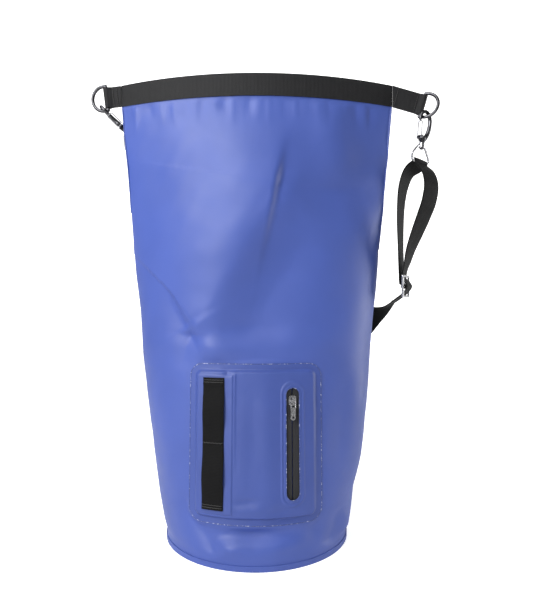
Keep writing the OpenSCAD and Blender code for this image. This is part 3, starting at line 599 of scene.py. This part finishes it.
def add_pocket():
    columns, rows = 218, 252
    zs = np.linspace(POCKET_Z, POCKET_TOP, rows)
    us = np.linspace(-1, 1, columns)
    half = outline_half(zs)[:, None]
    full = POCKET_W / 2
    edge = full - CORNER_R - 1
    x = us[None, :] * full
    squeezed = np.sign(x) * (edge + (np.abs(x) - edge) / (full - edge) * (half - edge))
    x = np.where(np.abs(x) > edge, squeezed, x)
    z = np.repeat(zs[:, None], columns, 1)
    slot_at = stadium(x, z, ZIP_W, ZIP_L)
    faces = grid_faces(rows, columns)
    outside = slot_at.ravel()[faces].mean(axis=1) > 0
    rim = np.zeros(x.size, bool)
    rim[faces[outside].ravel()] = True
    cut = np.zeros(x.size, bool)
    cut[faces[~outside].ravel()] = True
    snap = (rim & cut).reshape(x.shape)
    e = 0.05
    gx = (stadium(x + e, z, ZIP_W, ZIP_L) - slot_at) / e
    gz = (stadium(x, z + e, ZIP_W, ZIP_L) - slot_at) / e
    x = np.where(snap, x - slot_at * gx, x)
    z = np.where(snap, z - slot_at * gz, z)
    faces = faces[outside]
    used = np.unique(faces)
    index = np.full(x.size, -1)
    index[used] = np.arange(len(used))
    points = panel_surface(x, z, PANEL_T + panel_relief(x, z), PANEL_BLEND).reshape(-1, 3)[used]
    uvs = np.column_stack([x.ravel(), z.ravel()])[used]
    obj = make_mesh("pocket_sheet", points, index[faces], uvs)
    solidify(obj, PANEL_T)
    paint(obj, M["panel"])
    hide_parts("pocket_panel", "pocket_reinforcement", "zipper_window_weld")
    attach(obj, "bag")


def tube_along(name, points, radius, material, body="bag", closed=False, flat=1.0, normals=None):
    """A round or flattened six-sided bead along points."""
    sides = 6
    p = np.asarray(points, float)
    count = len(p)
    ahead = np.roll(p, -1, 0) - np.roll(p, 1, 0)
    if not closed:
        ahead[0], ahead[-1] = p[1] - p[0], p[-1] - p[-2]
    ahead /= np.linalg.norm(ahead, axis=1)[:, None]
    n = np.asarray(normals if normals is not None else np.tile([0.0, -1.0, 0.0], (count, 1)), float)
    n = n - (n * ahead).sum(1)[:, None] * ahead
    n /= np.linalg.norm(n, axis=1)[:, None]
    w = np.cross(ahead, n)
    r = np.broadcast_to(np.asarray(radius, float), (count,))[:, None]
    turns = 2 * math.pi * np.arange(sides) / sides
    ring = [p + r * (math.cos(a) * w + flat * math.sin(a) * n) for a in turns]
    verts = np.stack(ring, 1).reshape(-1, 3)
    faces = []
    for i in range(count if closed else count - 1):
        k = (i + 1) % count
        for j in range(sides):
            m = (j + 1) % sides
            faces.append((i * sides + j, i * sides + m, k * sides + m, k * sides + j))
    if not closed:
        faces += [tuple(range(sides))[::-1], tuple((count - 1) * sides + j for j in range(sides))]
    along = np.concatenate([[0], np.cumsum(np.linalg.norm(np.diff(p, axis=0), axis=1))])
    uvs = np.stack([np.tile(np.arange(sides), count) * 1.0, np.repeat(along, sides)], -1)
    obj = make_mesh(name, verts, faces, uvs)
    paint(obj, material)
    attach(obj, body)


def weld_bead(name, x, z, lift, radius):
    """The thin squeezed-out line along a weld's edge, thicker here and there."""
    p = panel_surface(x, z, lift, PANEL_BLEND)
    wobble = 1 + 0.45 * np.sin(0.9 * np.arange(len(x))) * np.sin(0.37 * np.arange(len(x)) + 1)
    tube_along(name, p, radius * wobble, M["weld"], closed=True, flat=0.6,
               normals=front_normal(x, z))


def rounded_loop(cx, cz, hw, hh, r, step=1.2):
    """Points round an upright rounded rectangle."""
    parts = []
    for sx, sz, start in ((1, 1, 0), (-1, 1, 90), (-1, -1, 180), (1, -1, 270)):
        a = np.radians(start + np.linspace(0, 90, 14))
        px = cx + sx * (hw - r) + r * np.cos(a)
        pz = cz + sz * (hh - r) + r * np.sin(a)
        parts.append(np.column_stack([px, pz]))
    p = np.vstack(parts + [parts[0][:1]])
    length = np.concatenate([[0], np.cumsum(np.linalg.norm(np.diff(p, axis=0), axis=1))])
    at = np.arange(0, length[-1], step)
    return np.interp(at, length, p[:, 0]), np.interp(at, length, p[:, 1])


def weld_material():
    """Clear weld flash: mostly the fabric's blue, broken by pale specks where it catches light."""
    s = Shader("weld_flash")
    specks = s.noise(s.coords(), 330.0, 3.0, 0.7)
    blue = (0.045, 0.07, 0.23)
    stops = [(0.0, blue), (0.54, blue), (0.62, (0.42, 0.46, 0.62)), (1.0, (0.55, 0.58, 0.7))]
    tone = s.ramp(specks, "Fac", stops)
    s.link(tone, "Color", s.bsdf, "Base Color")
    s.set(Roughness=0.3)
    return s.mat


M["weld"] = weld_material()
add_pocket()
edge_x, edge_z = rounded_loop(0, POCKET_Z + POCKET_H / 2, POCKET_W / 2 - 0.2, POCKET_H / 2 - 0.2, CORNER_R)
weld_bead("pocket_weld_edge", edge_x, edge_z, PANEL_T, 0.42)
slot_x, slot_z = rounded_loop(ZIP_X, ZIP_Z + ZIP_L / 2, ZIP_W / 2 + 0.2, ZIP_L / 2 + 0.2, ZIP_W / 2)
weld_bead("zipper_window_edge", slot_x, slot_z, PANEL_T + panel_relief(slot_x, slot_z), 0.34)


# ---- Webbing ---------------------------------------------------------------------------------------
WEB_W, WEB_T = 25.0, 1.4


def unit(v):
    return np.asarray(v, float) / np.linalg.norm(v)


def square_to(v, up):
    v = np.asarray(v, float)
    return unit(v - (v @ up) * up)


def ribbon(name, path, crown=0.0):
    """Webbing with soft edges along points [x, y, z, nx, ny, nz], the last three its face's direction."""
    p = smooth_path(path, 8)
    ahead = np.gradient(p[:, :3], axis=0)
    ahead /= np.linalg.norm(ahead, axis=1)[:, None]
    across = np.cross(ahead, p[:, 3:])
    across /= np.linalg.norm(across, axis=1)[:, None]
    out = np.cross(across, ahead)
    along = np.concatenate([[0], np.cumsum(np.linalg.norm(np.diff(p[:, :3], axis=0), axis=1))])
    h, t = WEB_W / 2, WEB_T / 2
    profile = [(-h, 0.0), (-h + 0.35, t * 0.8), (-h + 1.2, t), (-h * 0.5, t), (0, t), (h * 0.5, t),
               (h - 1.2, t), (h - 0.35, t * 0.8), (h, 0.0), (h - 0.35, -t * 0.8), (h - 1.2, -t),
               (h * 0.5, -t), (0, -t), (-h * 0.5, -t), (-h + 1.2, -t), (-h + 0.35, -t * 0.8)]
    count = len(profile)
    verts, uvs = [], []
    for i in range(len(p)):
        for u, v in profile:
            bow = crown * (1 - (u / h) ** 2)
            verts.append(p[i, :3] + across[i] * u + out[i] * (v + bow))
            uvs.append((u, along[i]))
    faces = grid_faces(len(p), count, True)[:, ::-1].tolist()
    faces += [tuple(range(count)), tuple((len(p) - 1) * count + j for j in range(count))[::-1]]
    obj = make_mesh(name, verts, faces, uvs)
    paint(obj, M["strap"])
    return obj


SLIDER_TURN = 62  # degrees that the strap's slider faces away from the front
SLIDER = np.array([185.0, 1.0, 303.0])
SLIDER_OUT = np.array([math.sin(math.radians(SLIDER_TURN)), -math.cos(math.radians(SLIDER_TURN)), 0])
RIGHT_UP = unit([7, 0, 59])
LEFT_UP = unit([-40, -17, 38])
RIGHT_BAR = np.array([200.73, -4.06, 455.96])
LEFT_BAR = np.array([-149.78, 18.57, 484.17])
RIGHT_TURN = math.radians(40)
RIGHT_SIDE = square_to([math.cos(RIGHT_TURN), math.sin(RIGHT_TURN), 0], RIGHT_UP)
RIGHT_FACE = np.cross(RIGHT_SIDE, RIGHT_UP)
LEFT_SIDE = square_to([38, 0, 40], LEFT_UP)
LEFT_FACE = np.cross(LEFT_SIDE, LEFT_UP)
STIRRUP_R, WRAP_GAP = 1.6, 0.4
WRAP_R = STIRRUP_R + WRAP_GAP + WEB_T / 2


def strand(point, angle, side):
    """A ribbon point whose face turns by angle from the front, outwards (1) or inwards (-1)."""
    a = math.radians(angle)
    return [*point, side * math.sin(a), -side * math.cos(a), 0]


def at_slider(up, out):
    return SLIDER + np.array([0, 0, up]) + out * SLIDER_OUT


def near_slider(up, out, side=1):
    return strand(at_slider(up, out), SLIDER_TURN, side)


def round_bar(t):
    n = math.sin(math.radians(90 * t)) * RIGHT_FACE + math.cos(math.radians(90 * t)) * RIGHT_UP
    return [*(RIGHT_BAR + WRAP_R * n), *n]


def off_bar(s):
    return [*(RIGHT_BAR + s * WRAP_R * RIGHT_FACE - 3.5 * RIGHT_UP), *(s * RIGHT_FACE)]


def rest_on_back(x, z):
    n = front_normal(np.array(x, float), np.array(z, float))
    return [x + 5 * n[0], -(front_y(x, z) + 5 * n[1]), z, n[0], -n[1], 0]


def add_straps():
    inner = [((180.5, 5, 322), 62), ((180, 7, 350), 62), ((180, 9, 378), 59), ((181, 10.5, 404), 56),
             ((183.5, 9, 427), 50), ((189, 4.5, 444), 44)]
    outer = [((208.5, -14, 441), 36), ((211, -18, 425), 32), ((208.5, -17.5, 406), 32), ((203, -14, 388), 36),
             ((196, -10, 368), 42), ((189.5, -5.5, 348), 50), ((186, -2, 331), 58)]
    through = [(16, -1.8), (10, -2.6), (5.6, 1.6), (0, 4.6), (-5.6, 1.6), (-10, -2.6), (-12.8, -6.2)]
    loop = [near_slider(2.2, -4.1, -1), near_slider(8, -5, -1)]
    loop += [strand(point, angle, -1) for point, angle in inner] + [off_bar(-1)]
    loop += [round_bar(t) for t in (-1, -0.5, 0, 0.5, 1)] + [off_bar(1)]
    loop += [strand(point, angle, 1) for point, angle in outer]
    loop += [near_slider(up, out) for up, out in through]
    piece = ribbon("strap_loop_webbing", loop, crown=0.25)
    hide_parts("strap_loop")
    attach(piece, "right_strap")
    tilt = [-0.52, 0.28, 0.81]
    leaving = [(-12.8, -6.2), (-16.2, -10.6), (-19.4, -15.5), (-22.6, -20.4)]
    right = [[*at_slider(up, out), *tilt] for up, out in leaving] + [[152, 32, 266, 0.1, 0.9, 0.35]]
    right += [rest_on_back(120, 232), rest_on_back(80, 203), rest_on_back(40, 192), rest_on_back(0, 204)]
    facing = LEFT_FACE * np.sign(LEFT_FACE[1])
    left = [rest_on_back(0, 204), rest_on_back(-35, 238), rest_on_back(-65, 288), rest_on_back(-90, 345),
            rest_on_back(-108, 395), rest_on_back(-122, 438), [*(LEFT_BAR - 27 * LEFT_UP), *facing],
            [*(LEFT_BAR - 20.4 * LEFT_UP), *facing]]
    piece = ribbon("strap_run_right", right, crown=0.2)
    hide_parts("strap_run")
    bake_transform(piece)
    piece = ribbon("strap_run_left", left, crown=0.2)
    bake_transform(piece)

    def leg(s, d, off):
        return [*(LEFT_BAR - d * LEFT_UP + s * (WEB_T / 2 + off) * LEFT_FACE), *(s * LEFT_FACE)]

    def lay(a):
        n = math.sin(math.radians(a)) * LEFT_FACE + math.cos(math.radians(a)) * LEFT_UP
        return [*(LEFT_BAR + WRAP_R * n), *n]

    end = [leg(1, 25, 0.1), leg(1, 12, 0.15), leg(1, 6, 0.9)] + [lay(a) for a in (90, 60, 30, 0, -30, -60, -90)]
    end += [leg(-1, 6, 0.9), leg(-1, 12, 0.15), leg(-1, 25, 0.1)]
    piece = ribbon("strap_left_fold", end)
    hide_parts("strap_left_end")
    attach(piece, "left_strap")


add_straps()


def chain_lift(z, z0, z1):
    """How far each loop of the daisy chain stands off, between its stitches."""
    middle = (z0 + z1) / 2
    t = np.where(z < middle, (z - z0) / (middle - z0), (z - middle) / (z1 - middle))
    return 2.4 * np.sin(np.pi * np.clip((t - 0.08) / 0.84, 0, 1)) ** 2


def add_chain():
    z0, z1 = POCKET_Z + 16, POCKET_TOP - 14.5
    zs = np.linspace(z0, z1, 240)
    xs = CHAIN_X + CHAIN_W / 2 * np.array([-1, -0.985, -0.9, -0.6, -0.3, 0, 0.3, 0.6, 0.9, 0.985, 1])
    x, z = np.meshgrid(xs, zs)
    base = PANEL_T + PATCH_T + 2 * SKIN_GAP
    middle = (z0 + z1) / 2
    lift = base + chain_lift(z, z0, z1) + WEB_T
    for stitch in (z0 + 2.5, z0 + 5, middle - 0.6, z1 - 5, z1 - 2.5):
        lift = lift - 0.45 * np.exp(-(((z - stitch) / 0.9) ** 2))
    lift = lift + np.where(z > z1 - 9.5, 0.5 * ease((z - z1 + 9.5) / 0.6), 0)
    lift = lift + np.where(z < z0 + 7.5, 0.4 * ease((z0 + 7.5 - z) / 0.6), 0)
    lift = lift - 0.5 * (np.abs(x - CHAIN_X) > CHAIN_W / 2 * 0.97) + ripple(x, z, 40, 0.12, 51)
    sway = ripple(z * 0, z, 60, 0.25, 52)
    points = panel_surface(x + sway, z, lift).reshape(-1, 3)
    uvs = np.column_stack([x.ravel(), z.ravel()])
    obj = make_mesh("daisy_webbing", points, grid_faces(len(zs), len(xs)), uvs)
    solidify(obj, 1.3)
    paint(obj, M["chain"])
    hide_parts("daisy_chain", "daisy_bartacks")
    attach(obj, "bag")
    rows = ((z0 + 2.5, 0.1), (z0 + 5, 0.1), (middle, 0.5), (z1 - 5, 0.12), (z1 - 2.5, 0.12))
    for k, (stitch, wander) in enumerate(rows):
        xx = np.linspace(CHAIN_X - CHAIN_W / 2 + 1.2, CHAIN_X + CHAIN_W / 2 - 1.2, 60)
        zz = stitch + wander * np.sin(xx * 1.9) + 0.12 * np.sin(xx * 7.3)
        high = base + WEB_T + chain_lift(zz, z0, z1) + (0.28 if k != 2 else 0.05)
        high = high + 0.16 * np.abs(np.sin((xx - CHAIN_X) * 1.3))
        tube_along(f"daisy_stitch_{k + 1}", panel_surface(xx, zz, high), 0.42, M["thread"])


add_chain()


# ---- CAD pieces that keep their own shape --------------------------------------------------------


def finish_cad(names, material, bevel=0.0):
    for name in names:
        obj = nodes[name]
        paint(obj, M[material])
        if bevel:
            mod = obj.modifiers.new("edges", "BEVEL")
            mod.width = bevel * MM
            mod.segments = 2
            mod.angle_limit = math.radians(40)


sides = ("left", "right")
finish_cad(["back_seam_tape", "base_seam_tape", "base_disc"], "skin")
finish_cad(["front_band", "back_band"], "band", 0.35)
finish_cad([f"{s}_tab" for s in sides], "band", 0.3)
finish_cad(["front_stiffener", "back_stiffener"], "strip")
finish_cad(["zipper_tape_left", "zipper_tape_right"], "tape")
finish_cad(["zipper_coil"], "teeth")
finish_cad(["zipper_stops"], "dark_metal", 0.1)
finish_cad(["zipper_slider", "zipper_pull"], "bright_metal", 0.25)
for s in sides:
    finish_cad([f"{s}_{part}" for part in ("d_ring", "hook", "swivel_post")], "dark_metal", 0.15)
    finish_cad([f"{s}_{part}" for part in ("gate", "gate_pin", "stirrup")], "bright_metal", 0.1)
finish_cad(["strap_slider"], "bright_metal")
finish_cad(["strap_sewn_end"], "strap_cad", 0.2)
finish_cad(["left_tab_stitching", "right_tab_stitching", "strap_end_stitching"], "thread")


# ---- Floor -----------------------------------------------------------------------------------------


def add_floor():
    """A pale floor that meets a pale wall; both glow a little, as paper lit from all round does."""
    side, back, top, quad = 6000, 2200, 5000, [(0, 1, 2, 3)]
    floor = make_mesh("floor", [(-side, -side, 0), (side, -side, 0), (side, back, 0), (-side, back, 0)], quad)
    wall = make_mesh("wall", [(-side, back, 0), (side, back, 0), (side, back, top), (-side, back, top)], quad)
    for piece, seen, lit in ((floor, 0.66, 0.06), (wall, 1.1, 0.25)):
        s = Shader(piece.name + "_white")
        grain = s.noise(s.coords(), 3.0)
        tone = s.ramp(grain, "Fac", [(0.4, grey(0.90)), (0.6, grey(0.92))])
        s.link(tone, "Color", s.bsdf, "Base Color")
        path = s.add("LightPath")
        glow = s.maths("MULTIPLY_ADD", (path, "Is Camera Ray"), seen - lit)
        glow.inputs[2].default_value = lit
        s.link(glow, "Value", s.bsdf, "Emission Strength")
        s.set(Roughness=0.7, Specular_IOR_Level=0.1, Emission_Color=grey(1))
        piece.data.materials.append(s.mat)


add_floor()
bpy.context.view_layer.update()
